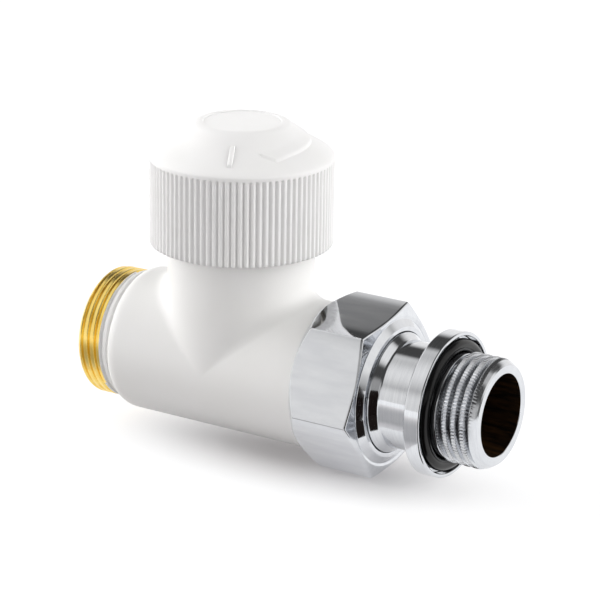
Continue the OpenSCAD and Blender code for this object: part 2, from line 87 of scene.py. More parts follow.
def rounded(corners, closed=True, steps=4, hold=0.1):
    """Outline points from corners (along, radius, rounding). A rounding of 0 leaves a sharp corner.
    A point is held close on either side of each arc, so that the flats beside it stay flat in the light."""
    count = len(corners)
    out = []
    for i, (along, radius, rounding) in enumerate(corners):
        here = np.array((along, radius))
        if rounding == 0 or (not closed and i in (0, count - 1)):
            out.append(here)
            continue
        before = np.array(corners[i - 1][:2]) - here
        after = np.array(corners[(i + 1) % count][:2]) - here
        length_before, length_after = np.linalg.norm(before), np.linalg.norm(after)
        before, after = before / length_before, after / length_after
        half = max(math.acos(max(-1.0, min(1.0, -before @ after))) / 2, 0.01)
        reach = min(rounding * math.tan(half), 0.4 * length_before, 0.4 * length_after)
        start, end = here + before * reach, here + after * reach
        middle = before + after
        centre = here + middle / np.linalg.norm(middle) * reach / math.sin(half)
        out.append(start + before * min(hold, 0.3 * length_before))
        for k in range(steps + 1):
            t = k / steps
            a, b = math.sin((1 - t) * 2 * half), math.sin(t * 2 * half)
            out.append(centre + (a * (start - centre) + b * (end - centre)) / math.sin(2 * half))
        out.append(end + after * min(hold, 0.3 * length_after))
    return out


def weld(name, tables, materials, sharp=38):
    """A mesh object from tables of points in millimetres, each with a material number, or one for each row or face.
    Neighbouring rows and columns are joined by faces, and points that meet are merged."""
    vertices, faces, numbers = [], [], []
    for points, number in tables:
        rows, cols = points.shape[:2]
        index = np.arange(rows * cols).reshape(rows, cols) + len(vertices)
        vertices.extend((points.reshape(-1, 3) / 1000).tolist())
        quads = np.stack([index[:-1, :-1], index[1:, :-1], index[1:, 1:], index[:-1, 1:]], axis=-1)
        faces.extend(quads.reshape(-1, 4).tolist())
        number = np.asarray(number)
        numbers.extend(np.broadcast_to(number[:, None] if number.ndim == 1 else number, (rows - 1, cols - 1)).ravel().tolist())
    mesh = bpy.data.meshes.new(name)
    mesh.from_pydata(vertices, [], faces)
    mesh.polygons.foreach_set("material_index", numbers)
    work = bmesh.new()
    work.from_mesh(mesh)
    bmesh.ops.remove_doubles(work, verts=work.verts, dist=2e-6)
    bmesh.ops.dissolve_degenerate(work, dist=1e-6, edges=work.edges)
    bmesh.ops.recalc_face_normals(work, faces=work.faces)
    work.to_mesh(mesh)
    work.free()
    for material in materials:
        mesh.materials.append(material)
    piece = bpy.data.objects.new(name, mesh)
    bpy.context.scene.collection.objects.link(piece)
    soften(piece, sharp)
    return piece


def soften(piece, sharp):
    """Smooth shading, with edges kept sharp above an angle in degrees."""
    piece.data.polygons.foreach_set("use_smooth", [True] * len(piece.data.polygons))
    piece.data.set_sharp_from_angle(angle=math.radians(sharp))


def turned(outline, angles, centre=0.0, upright=False):
    """Table of points of an outline (along, radius) turned round the pipe's axis, or round the stem's."""
    outline = np.asarray(outline)
    along = outline[:, 0][:, None] + 0 * angles
    across = outline[:, 1][:, None] * np.cos(angles)
    side = outline[:, 1][:, None] * np.sin(angles)
    if upright:
        return np.stack([centre + across, side, along], axis=-1)
    return np.stack([centre + along, -side, across], axis=-1)


def boolean(piece, other, operation):
    """Cuts or joins another piece, which is used up."""
    modifier = piece.modifiers.new(operation, "BOOLEAN")
    modifier.object = other
    modifier.operation = operation
    modifier.solver = "EXACT"
    bpy.context.view_layer.update()
    result = bpy.data.meshes.new_from_object(piece.evaluated_get(bpy.context.evaluated_depsgraph_get()))
    piece.modifiers.clear()
    piece.data = result
    bpy.data.objects.remove(other)


def smooth_step(low, high, value):
    t = np.clip((value - low) / (high - low), 0, 1)
    return t * t * (3 - 2 * t)


def ridge_outline(pitch, depth, crest, root, rounding):
    """One pitch of a thread as (along, height): flat root, flank, flat crest and flank, with soft corners."""
    flank = (pitch - crest - root) / 2
    corners = [(0, 0, 0), (root / 2, 0, rounding), (root / 2 + flank, depth, rounding),
               (root / 2 + flank + crest, depth, rounding), (pitch - root / 2, 0, rounding), (pitch, 0, 0)]
    return np.array(rounded(corners, closed=False, steps=3, hold=0.03))[:-1]


def thread(angles, outline, pitch, start, end, root_r, shape, phase=0.0):
    """Table of a right-hand thread round the pipe's axis between two stations.
    What runs past a station is gathered at it, and shape(x, radius) trims the radius at each x."""
    turns = int(round((end - start) / pitch)) + 3
    rows = np.array([(x + k * pitch, y) for k in range(-2, turns) for x, y in outline])
    along = rows[:, 0][:, None] + start + pitch * (angles[None, :] / (2 * math.pi) + phase)
    along = np.clip(along, start, end)
    radius = shape(along, root_r + rows[:, 1][:, None] + 0 * along)
    # the angle is measured right-handed about +X, from up towards -Y and on
    return np.stack([along, radius * np.sin(-angles), radius * np.cos(angles)], axis=-1)


# Gloss white spray paint: an even white with a very fine orange peel that only shows in the highlights.
white_paint, shader = new_material("gloss_white_spray_paint", 0.3, IOR=1.5)
place = node(white_paint, "ShaderNodeTexCoord")
drift = node(white_paint, "ShaderNodeTexNoise", {"Scale": 90.0, "Detail": 2.0}, {"Vector": place.outputs["Object"]})
tint = node(white_paint, "ShaderNodeValToRGB", links={"Fac": drift.outputs["Fac"]})
tint.color_ramp.elements[0].color = linear("#ececea")
tint.color_ramp.elements[1].color = linear("#f1f1f1")
# orange peel about 0.7 mm from crest to crest, drawn shallow
peel = node(white_paint, "ShaderNodeTexNoise", {"Scale": 1400.0, "Detail": 1.0}, {"Vector": place.outputs["Object"]})
bump = node(white_paint, "ShaderNodeBump", {"Strength": 0.06, "Distance": 0.00005}, {"Height": peel.outputs["Fac"]})
white_paint.node_tree.links.new(tint.outputs["Color"], shader.inputs["Base Color"])
white_paint.node_tree.links.new(bump.outputs["Normal"], shader.inputs["Normal"])

# Turned bare brass: warm yellow metal with fine tool lines round the axis and a slight tarnish.
bare_brass, shader = new_material("turned_bare_brass", 0.24, 1.0)
place = node(bare_brass, "ShaderNodeTexCoord")
tarnish = node(bare_brass, "ShaderNodeTexNoise", {"Scale": 260.0, "Detail": 4.0}, {"Vector": place.outputs["Object"]})
tint = node(bare_brass, "ShaderNodeValToRGB", links={"Fac": tarnish.outputs["Fac"]})
tint.color_ramp.elements[0].position = 0.3
tint.color_ramp.elements[0].color = linear("#f6cf66")
tint.color_ramp.elements[1].position = 0.7
tint.color_ramp.elements[1].color = linear("#ffe48c")
# tool lines 0.08 mm apart, stretched along the cut
stretch = node(bare_brass, "ShaderNodeMapping", {"Scale": (12000.0, 300.0, 300.0)}, {"Vector": place.outputs["Object"]})
lines = node(bare_brass, "ShaderNodeTexNoise", {"Scale": 1.0, "Detail": 2.0}, {"Vector": stretch.outputs["Vector"]})
bump = node(bare_brass, "ShaderNodeBump", {"Strength": 0.12, "Distance": 0.00002}, {"Height": lines.outputs["Fac"]})
bare_brass.node_tree.links.new(tint.outputs["Color"], shader.inputs["Base Color"])
bare_brass.node_tree.links.new(bump.outputs["Normal"], shader.inputs["Normal"])

angles = np.linspace(0, 2 * math.pi, columns + 1)
body_end = 59.7

# the barrel's two halves start at the blend's edge above and at the stem's plane below
edge = (barrel_r + blend_r) * np.maximum(np.cos(angles), 0)

# towards the outlet: plain barrel, a small step, then the union thread (26.4 mm, 14 turns to the inch)
union_r = 13.2
union_start = 49.75
union_pitch = 1.814
union_depth = 0.95


def union_trim(x, radius):
    """Runs the thread out at the step and chamfers its end."""
    root = union_r - union_depth
    fade = smooth_step(union_start, union_start + 0.8, x)
    radius = root + (radius - root) * fade
    return np.minimum(radius, union_r - np.clip(x - (body_end - 0.9), 0, 1) * 1.1)


outer = []
barrel = np.stack([stem_x + edge + (union_start - 0.3 - stem_x - edge) * t for t in np.linspace(0, 1, 12)])
sine, cosine = np.sin(-angles), np.cos(angles)
outer.append((np.stack([barrel, barrel_r * sine + 0 * barrel, barrel_r * cosine + 0 * barrel], axis=-1), 0))
step = rounded([(union_start - 0.3, barrel_r, 0), (union_start - 0.01, barrel_r, 0.2),
                (union_start, union_r - union_depth, 0)], closed=False)
outer.append((turned(step, angles), 0))
outline = ridge_outline(union_pitch, union_depth, 0.4, 0.3, 0.12)
union_table = thread(angles, outline, union_pitch, union_start, body_end, union_r - union_depth, union_trim)
bare = (union_table[:-1, :-1, 0] + union_table[1:, 1:, 0]) / 2 > union_start + 2.4
outer.append((union_table, bare.astype(int)))
outer.append((turned([(body_end, union_r - 0.99), (body_end, 0)], angles), 1))

# towards the inlet: plain barrel, a rounded shoulder, then the inlet thread (25.3 mm, 1.5 mm pitch)
inlet_r = 12.65
inlet_pitch = 1.5
inlet_depth = 0.55
paint_edge = 5.1
shoulder_x = 7.6
shoulder_r = 12.9
shoulder = [(shoulder_x + 2.4 * (1 - math.cos(a)), shoulder_r + (barrel_r - shoulder_r) * math.sin(a))
            for a in np.linspace(math.pi / 2, 0, 10)]


def inlet_trim(x, radius):
    """Rounds the thread's first ridge at the end face and runs its last groove out in the shoulder."""
    start = inlet_r - 0.55 + np.clip(x, 0, 0.7) * 0.9
    radius = np.where(x < 0.7, np.minimum(radius, start), radius)
    fade = smooth_step(shoulder_x - 0.5, shoulder_x, x)
    return radius + (shoulder_r - radius) * fade


barrel = np.stack([stem_x - edge + (shoulder[0][0] - stem_x + edge) * t for t in np.linspace(0, 1, 12)])
outer.append((np.stack([barrel, barrel_r * sine + 0 * barrel, barrel_r * cosine + 0 * barrel], axis=-1), 0))
outer.append((turned(shoulder, angles), 0))
outline = ridge_outline(inlet_pitch, inlet_depth, 0.72, 0.14, 0.16)
inlet_table = thread(angles, outline, inlet_pitch, 0, shoulder_x, inlet_r - inlet_depth, inlet_trim, phase=0.55)
bare = (inlet_table[:-1, :-1, 0] + inlet_table[1:, 1:, 0]) / 2 < paint_edge
outer.append((inlet_table, bare.astype(int)))
outer.append((turned([(0, inlet_r - 0.55), (0, 0)], angles), 1))

# the neck, and the soft blend that a ball of its radius would roll between the neck and the barrel
half = np.linspace(-math.pi / 2, math.pi / 2, columns // 2 + 1)
reach = barrel_r + blend_r
for side in (1, -1):
    rows = []
    for t in np.linspace(0, 1, 9):
        # from the barrel's contact line up to the neck's
        low = np.stack([0 * half, -blend_r * np.sin(half), -blend_r * np.cos(half)], axis=-1)
        high = np.stack([-blend_r * np.cos(half), -blend_r * np.sin(half), 0 * half], axis=-1)
        spread = np.arccos(np.clip((low * high).sum(-1) / blend_r**2, -1, 1))[:, None]
        safe = np.maximum(np.sin(spread), 1e-9)
        arc = np.where(spread > 1e-5, (np.sin((1 - t) * spread) * low + np.sin(t * spread) * high) / safe, low)
        centre = np.stack([reach * np.cos(half), reach * np.sin(half), reach * np.cos(half)], axis=-1)
        rows.append(centre + arc)
    contact = rows[-1]
    top = contact.copy()
    top[:, 2] = neck_top
    for t in np.linspace(0, 1, 10)[1:]:
        rows.append(contact * (1 - t) + top * t)
    flat = top.copy()
    flat[:, :2] = 0
    rows.append(flat)
    table = np.array(rows)
    table[:, :, 0] = stem_x + side * table[:, :, 0]
    outer.append((table, 0))

body = weld("valve_body_forging", outer, [white_paint, bare_brass], sharp=32)

# the bores: both ports, the passages under and over the seat, and the chamber that takes the bonnet
port_r = 8.2
bores = [
    (False, 0, [(-1, 0), (-1, port_r), (16, port_r), (18.5, port_r), (18.8, port_r - 0.3), (18.8, 0)]),
    (False, 0, [(40.8, 0), (40.8, port_r - 0.3), (41.1, port_r), (43.5, port_r), (61, port_r), (61, 0)]),
    (True, 0, [(-11, 0), (-11, 6), (-10.7, 6.3), (-2.6, 6.3), (-2.6, 5.5), (0.9, 5.5), (0.9, 6.6), (0, 6.6),
               (0, 9.4), (13.6, 9.4), (13.6, 10.5), (24.1, 10.5), (25.5, 11.9), (25.5, 0)]),
]
# half a step round from the body's own columns, so that no corner falls on another
bore_angles = np.linspace(0, 2 * math.pi, 97) + math.pi / 384
for upright, _, outline in bores:
    table = turned(outline, bore_angles, stem_x if upright else 0, upright)
    boolean(body, weld("bore", [(table, 1)], [white_paint, bare_brass]), "DIFFERENCE")
for x0, x1, z in ((16.8, stem_x, -6.8), (stem_x, 42.8, 5.2)):
    table = turned([(x0, 0), (x0, 4.2), (x1, 4.2), (x1, 0)], np.linspace(0, 2 * math.pi, 65)) + np.array((0, 0, z))
    boolean(body, weld("bore", [(table, 1)], [white_paint, bare_brass]), "DIFFERENCE")
soften(body, 32)
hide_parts("valve_body")
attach(body, "valve")


# BONNET AND GLAND
# Turned brass insert screwed into the neck, with a small gland nut that holds the pin's seal.
# The bonnet is nickel plated: the photo's nut mirrors nothing yellow from under the cap. The rest is bare brass.

nickel_plate, shader = new_material("nickel_plated_turned_brass", 0.3, 1.0)
place = node(nickel_plate, "ShaderNodeTexCoord")
# tool lines 0.1 mm apart round the neck's axis
stretch = node(nickel_plate, "ShaderNodeMapping", {"Scale": (300.0, 300.0, 10000.0)}, {"Vector": place.outputs["Object"]})
lines = node(nickel_plate, "ShaderNodeTexNoise", {"Scale": 1.0, "Detail": 2.0}, {"Vector": stretch.outputs["Vector"]})
tint = node(nickel_plate, "ShaderNodeValToRGB", links={"Fac": lines.outputs["Fac"]})
tint.color_ramp.elements[0].color = linear("#b5b1a9")
tint.color_ramp.elements[1].color = linear("#cbc8c2")
nickel_plate.node_tree.links.new(tint.outputs["Color"], shader.inputs["Base Color"])
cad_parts["bonnet"].data.materials.clear()
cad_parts["bonnet"].data.materials.append(nickel_plate)

for name in ("gland_nut", "gland_washer", "disc_cup", "disc_washer", "disc_nut"):
    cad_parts[name].data.materials.clear()
    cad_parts[name].data.materials.append(bare_brass)


# PIN, SPINDLE AND SPRING
# Drawn stainless wire and rod: bright grey metal with faint drawing lines along the stem.

drawn_steel, shader = new_material("drawn_stainless_steel", 0.28, 1.0)
place = node(drawn_steel, "ShaderNodeTexCoord")
# drawing lines 0.1 mm apart round the rod and long along it
stretch = node(drawn_steel, "ShaderNodeMapping", {"Scale": (9000.0, 9000.0, 200.0)}, {"Vector": place.outputs["Object"]})
lines = node(drawn_steel, "ShaderNodeTexNoise", {"Scale": 1.0, "Detail": 2.0}, {"Vector": stretch.outputs["Vector"]})
tint = node(drawn_steel, "ShaderNodeValToRGB", links={"Fac": lines.outputs["Fac"]})
tint.color_ramp.elements[0].color = linear("#a9a9a6")
tint.color_ramp.elements[1].color = linear("#c9c9c6")
drawn_steel.node_tree.links.new(tint.outputs["Color"], shader.inputs["Base Color"])
for name in ("pressure_pin", "valve_spindle", "spindle_clip", "spring_plate", "return_spring", "nut_ring"):
    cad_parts[name].data.materials.clear()
    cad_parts[name].data.materials.append(drawn_steel)


# SEALS
# Moulded nitrile rubber: near black, matte, with a faint bloom and a fine moulded grain.

nitrile, shader = new_material("moulded_nitrile_rubber", 0.2, Specular_IOR_Level=0.3)
place = node(nitrile, "ShaderNodeTexCoord")
bloom = node(nitrile, "ShaderNodeTexNoise", {"Scale": 500.0, "Detail": 3.0}, {"Vector": place.outputs["Object"]})
tint = node(nitrile, "ShaderNodeValToRGB", links={"Fac": bloom.outputs["Fac"]})
tint.color_ramp.elements[0].color = linear("#070707")
tint.color_ramp.elements[1].color = linear("#111112")
# grain about 0.25 mm
grain = node(nitrile, "ShaderNodeTexNoise", {"Scale": 4000.0, "Detail": 1.0}, {"Vector": place.outputs["Object"]})
bump = node(nitrile, "ShaderNodeBump", {"Strength": 0.1, "Distance": 0.00002}, {"Height": grain.outputs["Fac"]})
nitrile.node_tree.links.new(tint.outputs["Color"], shader.inputs["Base Color"])
nitrile.node_tree.links.new(bump.outputs["Normal"], shader.inputs["Normal"])
for name in ("bonnet_seal", "gland_seal", "spindle_seal", "valve_disc", "union_gasket"):
    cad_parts[name].data.materials.clear()
    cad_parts[name].data.materials.append(nitrile)


# HAND CAP
# White injection moulded ABS: a skirt with 90 moulded grooves, a hollow cone and a flat top disc.
# It screws on the bonnet's head thread, and a boss inside it holds the pin down.

white_abs, shader = new_material("injection_moulded_white_abs", 0.34, IOR=1.5)
place = node(white_abs, "ShaderNodeTexCoord")
drift = node(white_abs, "ShaderNodeTexNoise", {"Scale": 110.0, "Detail": 2.0}, {"Vector": place.outputs["Object"]})
tint = node(white_abs, "ShaderNodeValToRGB", links={"Fac": drift.outputs["Fac"]})
tint.color_ramp.elements[0].color = linear("#efefee")
tint.color_ramp.elements[1].color = linear("#f4f4f5")
# spark texture of the mould, about 0.2 mm, very shallow
spark = node(white_abs, "ShaderNodeTexNoise", {"Scale": 5000.0, "Detail": 1.0}, {"Vector": place.outputs["Object"]})
bump = node(white_abs, "ShaderNodeBump", {"Strength": 0.05, "Distance": 0.00002}, {"Height": spark.outputs["Fac"]})
white_abs.node_tree.links.new(tint.outputs["Color"], shader.inputs["Base Color"])
white_abs.node_tree.links.new(bump.outputs["Normal"], shader.inputs["Normal"])

cap_r = 17.55
cap_bottom = 23.3
skirt_top = 40.4
cap_top = 47.1
disc_r = 7.3
rib_count = 90
rib_arc = 2 * math.pi * cap_r / rib_count
groove_depth = 0.5
groove_top = 40.25


def spline(points, steps):
    """Points of a smooth line through the given ones."""
    points = np.asarray(points, float)
    padded = np.vstack([2 * points[0] - points[1], points, 2 * points[-1] - points[-2]])
    out = []
    for a, b, c, d in zip(padded, padded[1:], padded[2:], padded[3:]):
        for k in range(steps):
            t = k / steps
            out.append(0.5 * (2 * b + (c - a) * t + (2 * a - 5 * b + 4 * c - d) * t * t + (3 * b - a - 3 * c + d) * t**3))
    return out + [points[-1]]


cone = spline([(40.75, 17.47), (41.1, 17.14), (41.7, 16.3), (42.6, 14.78), (43.5, 13.25), (44.4, 11.96),
               (45.35, 10.84), (46.2, 9.76), (46.75, 9.04), (47.03, 8.33), (47.1, 7.85)], 3)
skirt_rows = [cap_bottom + 0.35, cap_bottom + 0.6, cap_bottom + 1.0, 32, 39.4] + list(np.linspace(39.65, 40.55, 11))
outside = rounded([(cap_bottom, 15.5, 0.1), (cap_bottom, cap_r - 0.75, 0.3), (cap_bottom + 0.3, cap_r - 0.3, 0.2)],
                  closed=False)[:-1]
outside = [tuple(p) for p in outside] + [(cap_bottom + 0.25, cap_r - 0.2)]
outside += [(z, cap_r - 0.05 * (z < cap_bottom + 0.5)) for z in skirt_rows] + [tuple(p) for p in cone]
outside += [tuple(p) for p in rounded([cone[-1].tolist() + [0], (cap_top - 0.03, disc_r + 0.1, 0.06),
                                       (cap_top - 0.18, disc_r, 0.08), (cap_top - 0.18, 4, 0)], closed=False)[1:]]
outside.append((cap_top - 0.18, 0))
# hollow inside: lead-in, thread bore, cone and the boss
inside = [(38.05, 0), (38.05, 3.4), (38.15, 3.5), (44.7, 3.5), (44.75, 6.7), (39.2, 14.38), (33.8, 14.38),
          (33.8, 14.98), (25.9, 14.98), (25.6, 15.48), (cap_bottom, 15.5)]
offsets = np.linspace(-0.5, 0.5, 12, endpoint=False) * rib_arc
rib_angles = np.concatenate([(k * rib_arc + offsets) / cap_r for k in range(rib_count)])
rib_angles = np.append(rib_angles, rib_angles[0] + 2 * math.pi)
across = (rib_angles * cap_r + rib_arc / 2) % rib_arc - rib_arc / 2
table = turned(np.array(outside), rib_angles, stem_x, True)
heights = table[:, :, 2]
# the ribs are rounder and wider than the grooves, and each groove ends at its top in a half round
rise = np.clip(heights - (groove_top - rib_arc / 2), 0, None)
off = np.clip(np.hypot(across[None, :], rise) / (rib_arc / 2), 0, 1)
depth = groove_depth * (0.5 + 0.5 * np.cos(math.pi * off)) ** 1.7
radial = np.hypot(table[:, :, 0] - stem_x, table[:, :, 1])
on_skirt = (radial > 16.0) & (heights < 41.5)
scale = np.where(on_skirt, (radial - depth) / np.maximum(radial, 1e-6), 1)
table[:, :, 0] = stem_x + (table[:, :, 0] - stem_x) * scale
table[:, :, 1] *= scale
coarse = turned(np.array(inside), rib_angles, stem_x, True)
cap = weld("hand_cap_moulding", [(table, 0), (coarse, 0)], [white_abs], sharp=50)


def cone_height(radius):
    """Height of the cone's surface at a radius."""
    pts = np.array(cone)[::-1]
    return np.interp(radius, pts[:, 1], pts[:, 0])


# the raised bar: a rib 0.85 mm wide that runs down the cone towards the front
bar_angle = math.radians(-65.8)
bar_half = 0.42
rows = []
for radius in np.linspace(11.1, 15.5, 15):
    ends = min(1, (radius - 11.1) / 0.35, (15.5 - radius) / 0.35)
    lift = 0.34 * math.sqrt(max(0, 1 - (1 - max(ends, 0)) ** 2))
    row = []
    for across_bar, up in ((-1.3, -0.5), (-1.02, 0), (-0.95, 0.75), (-0.75, 1), (0, 1.02), (0.75, 1), (0.95, 0.75),
                           (1.02, 0), (1.3, -0.5), (0, -1.5), (-1.3, -0.5)):
        side = bar_half * across_bar
        z = cone_height(radius) + (lift * up if up > 0 else up * 0.6)
        r = radius + (0.55 * lift * up if up > 0 else 0)
        row.append((stem_x + r * math.cos(bar_angle) - side * math.sin(bar_angle),
                    r * math.sin(bar_angle) + side * math.cos(bar_angle), z))
    rows.append(row)
middle = lambda row: [tuple(np.mean(row[:-1], axis=0))] * len(row)
rows = [middle(rows[0])] + rows + [middle(rows[-1])]
bar = weld("hand_cap_bar_mark", [(np.array(rows), 0)], [white_abs], sharp=50)

# the raised pad: a shallow step that starts at a blunt edge and winds round the cone, fading out behind
pad = []
turns = np.radians(np.concatenate([np.linspace(-44, -28, 24), np.linspace(-26, 110, 46)]))
for share in np.concatenate([np.linspace(0, 0.86, 12), [0.92, 0.96, 0.99, 1.0]]):
    row = []
    for a in turns:
        degrees = math.degrees(a)
        start = np.interp(degrees, [-44, -43, -31, -30], [12.75, 12.8, 14.6, 14.6])
        crease = np.interp(degrees, [-31, -17.4, 0, 24, 60, 110], [14.6, 13.87, 13.49, 13.07, 12.2, 10.8])
        outer_r = start if degrees < -31 else crease
        radius = 9.6 + (outer_r - 9.6) * share
        fade = 1 - smooth_step(20, 110, degrees)
        ramp = np.interp(degrees, [-43, -31], [0.5, 2.7])
        height = 0.34 * fade * smooth_step(outer_r - ramp, outer_r - 0.15, radius)
        height *= smooth_step(-44.0, -41.5, degrees)
        drop = smooth_step(0.9, 1.0, share) * (height + 0.12)
        row.append((stem_x + (radius + 0.5 * height) * math.cos(a), (radius + 0.5 * height) * math.sin(a),
                    cone_height(radius) + height - drop - 0.02))
    pad.append(row)
pad = np.array(pad)
under = pad[[0, -1]].copy()
under[:, :, 2] -= 0.6
pad = np.concatenate([pad, under[::-1], pad[:1]])
ends = [np.stack([pad[:, k], pad[:, k] * 0 + pad[:, k].mean(axis=0)], axis=1) for k in (0, -1)]
step = weld("hand_cap_pad_mark", [(pad, 0), (ends[0], 0), (ends[1], 0)], [white_abs], sharp=50)
for piece in (cap, bar, step):
    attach(piece, "cap")
    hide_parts("hand_cap")


# UNION NUT
# Hexagon nut forged in brass, machined, polished and chromed. Its front is chamfered and coned down to
# the hole, and its inside thread runs on the body's union thread.

def chrome_plate(name, low, high, stretch, wave):
    """Chrome over brass. Streaks of the polishing wheel or the lathe, stretched as given (per metre), change its
    roughness from low to high, and shallow waves make its reflections swim a little."""
    material, shader = new_material(name, low, 1.0)
    place = node(material, "ShaderNodeTexCoord")
    along = node(material, "ShaderNodeMapping", {"Scale": stretch}, {"Vector": place.outputs["Object"]})
    streaks = node(material, "ShaderNodeTexNoise", {"Scale": 1.0, "Detail": 3.0}, {"Vector": along.outputs["Vector"]})
    tint = node(material, "ShaderNodeValToRGB", links={"Fac": streaks.outputs["Fac"]})
    tint.color_ramp.elements[0].position = 0.35
    tint.color_ramp.elements[0].color = linear("#d8dade")
    tint.color_ramp.elements[1].position = 0.65
    tint.color_ramp.elements[1].color = linear("#e0e2e5")
    polish = node(material, "ShaderNodeMapRange", {"From Min": 0.35, "From Max": 0.65, "To Min": low, "To Max": high},
                  {"Value": streaks.outputs["Fac"]})
    waves = node(material, "ShaderNodeTexNoise", {"Scale": 450.0, "Detail": 2.0}, {"Vector": place.outputs["Object"]})
    both = node(material, "ShaderNodeMath", {"operation": "MULTIPLY_ADD", 1: wave},
                {0: waves.outputs["Fac"], 2: streaks.outputs["Fac"]})
    bump = node(material, "ShaderNodeBump", {"Strength": 0.02, "Distance": 0.00002}, {"Height": both.outputs[0]})
    material.node_tree.links.new(tint.outputs["Color"], shader.inputs["Base Color"])
    material.node_tree.links.new(polish.outputs[0], shader.inputs["Roughness"])
    material.node_tree.links.new(bump.outputs["Normal"], shader.inputs["Normal"])
    return material


# Chrome polished on a wheel: streaks about 4 mm long and 0.8 mm wide, along the nut.
chrome = chrome_plate("wheel_polished_chrome_plate", 0.05, 0.08, (120.0, 500.0, 500.0), 0.6)

nut_back = 49.86
nut_front = 64.8
nut_flat = 14.8
nut_turn = 8.7
hole_r = 11.6
thread_r = 13.28
corner_r = 16.94

# the hexagon's outline: polishing has dished each flat off towards its rounded corners
corners = []
for side in range(6):
    for across in (-1, -0.94, -0.88, -0.82, -0.75, -0.66, -0.5, -0.3, 0, 0.3, 0.5, 0.66, 0.75, 0.82, 0.88, 0.94):
        drop = 0.14 * max((abs(across) - 0.6) / 0.4, 0) ** 2
        reach = nut_flat - drop
        t = across * (nut_flat - 0.14) * math.tan(math.radians(30))
        turn = math.radians(60 * side + nut_turn)
        corners.append((reach * math.sin(turn) + t * math.cos(turn), reach * math.cos(turn) - t * math.sin(turn),
                        0.9 if across == -1 else 0))
outline = [(math.atan2(x, y), math.hypot(x, y)) for x, y in rounded(corners, steps=8, hold=0.05)]
outline.append(outline[0])

nut_rows = []
for angle, reach in outline:
    reach = min(reach, corner_r - 0.06)
    back_x = nut_back + 2.1 * (reach - 14.7) / (corner_r - 14.7)
    front_x = 63.9 - 0.75 * (reach - 14.5) / (corner_r - 14.5)
    corners = [
        (nut_back, thread_r, 0.2), (nut_back, 14.6, 0.1), (max(back_x, nut_back + 0.08), reach, 0.35),
        (front_x, reach, 0.42), (63.9, 14.35, 0.15), (63.75, 13.8, 0.12), (64.8, 12.45, 0.2), (64.8, hole_r, 0.15),
        (63.36, hole_r, 0.08), (63.36, 12.45, 0), (61.45, 12.45, 0), (61.45, hole_r, 0.08),
        (60.1, hole_r, 0.08), (60.1, thread_r, 0),
    ]
    section = np.array(rounded(corners, steps=3, hold=0.08))
    section = np.vstack([section, section[:1]])
    nut_rows.append(np.stack([section[:, 0], -section[:, 1] * math.sin(angle), section[:, 1] * math.cos(angle)], axis=-1))
nut = weld("union_nut_hexagon", [(np.array(nut_rows).transpose(1, 0, 2), 0)], [chrome], sharp=40)
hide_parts("union_nut")
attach(nut, "nut")


# TAIL PIECE
# Turned from brass tube stock, then chromed: a head inside the nut, a plain tube, a flange with a recess
# for its seal, and the 1/2 inch pipe thread that goes into the radiator (20.955 mm, 14 turns to the inch).

# Chrome as the lathe left it: fine rings 0.15 mm apart round the axis.
turned_chrome = chrome_plate("turned_chrome_plate", 0.07, 0.11, (6500.0, 260.0, 260.0), 1.2)

# Chrome over the coarser turned thread and end, which spread the light more.
threaded_chrome = chrome_plate("threaded_chrome_plate", 0.12, 0.2, (5000.0, 400.0, 400.0), 0.5)

# Bored brass, left without chrome: dull and brown, drawn near black as painted shade of the deep bore, with streaks of
# the boring tool along it.
bore_brass_painted_shade, shader = new_material("bored_brass_with_painted_shade", 0.5, 0.75)
place = node(bore_brass_painted_shade, "ShaderNodeTexCoord")
stretch = node(bore_brass_painted_shade, "ShaderNodeMapping", {"Scale": (200.0, 1100.0, 1100.0)}, {"Vector": place.outputs["Object"]})
streaks = node(bore_brass_painted_shade, "ShaderNodeTexNoise", {"Scale": 1.0, "Detail": 3.0}, {"Vector": stretch.outputs["Vector"]})
# both ends of this ramp are far darker than brass: painted shade inside the bore over a real brown
tint = node(bore_brass_painted_shade, "ShaderNodeValToRGB", links={"Fac": streaks.outputs["Fac"]})
tint.color_ramp.elements[0].position = 0.38
tint.color_ramp.elements[0].color = linear("#1e140c")
tint.color_ramp.elements[1].position = 0.7
tint.color_ramp.elements[1].color = linear("#54391f")
bore_brass_painted_shade.node_tree.links.new(tint.outputs["Color"], shader.inputs["Base Color"])

tail_end = 86.7
bore_r = 7.8
crest_r = 10.4775
outlet_pitch = 1.814
outlet_depth = 1.1
outlet_start = 78.4
root_r = crest_r - outlet_depth
# 100 notches round each crest, which hold the sealing hemp: three columns to a notch
notch_count = 100
tail_angles = np.linspace(0, 2 * math.pi, notch_count * 3 + 1)
notches = np.tile([0.0, 0.06, 0.32], notch_count)
notches = np.append(notches, notches[0])[None, :]


def outlet_trim(x, radius):
    """Runs the thread out at the seal's seat, notches its crests and turns its end down to a plain cone."""
    radius = root_r + (radius - root_r) * smooth_step(outlet_start, outlet_start + 0.5, x)
    radius = radius - notches * smooth_step(0.55, 0.9, (radius - root_r) / outlet_depth)
    cone_start = tail_end - 1.45
    cone_r = np.interp(x, [cone_start, tail_end - 0.25, tail_end], [crest_r - 0.1, root_r + 0.25, root_r])
    return radius + (np.minimum(cone_r, crest_r) - radius) * smooth_step(cone_start - 0.15, cone_start + 0.15, x)


front = rounded([
    (tail_end, root_r, 0), (tail_end, bore_r, 0.25), (60.7, bore_r, 0.15), (60.7, 11.45, 0.25),
    (61.75, 11.45, 0), (61.75, 10.85, 0), (63.05, 10.85, 0), (63.05, 11.45, 0),
    (65.05, 11.45, 0.3), (66.45, 10.3, 0.7), (73.7, 10.3, 0.35), (73.7, 13.8, 0.3),
    (77.0, 13.8, 0.25), (77.0, 13.05, 0.2), (75.2, 13.0, 0.15), (75.2, 9.98, 0.15),
    (outlet_start, 9.98, 0.2), (outlet_start, root_r, 0),
], closed=False)
outline = ridge_outline(outlet_pitch, outlet_depth, 0.85, 0.16, 0.1)
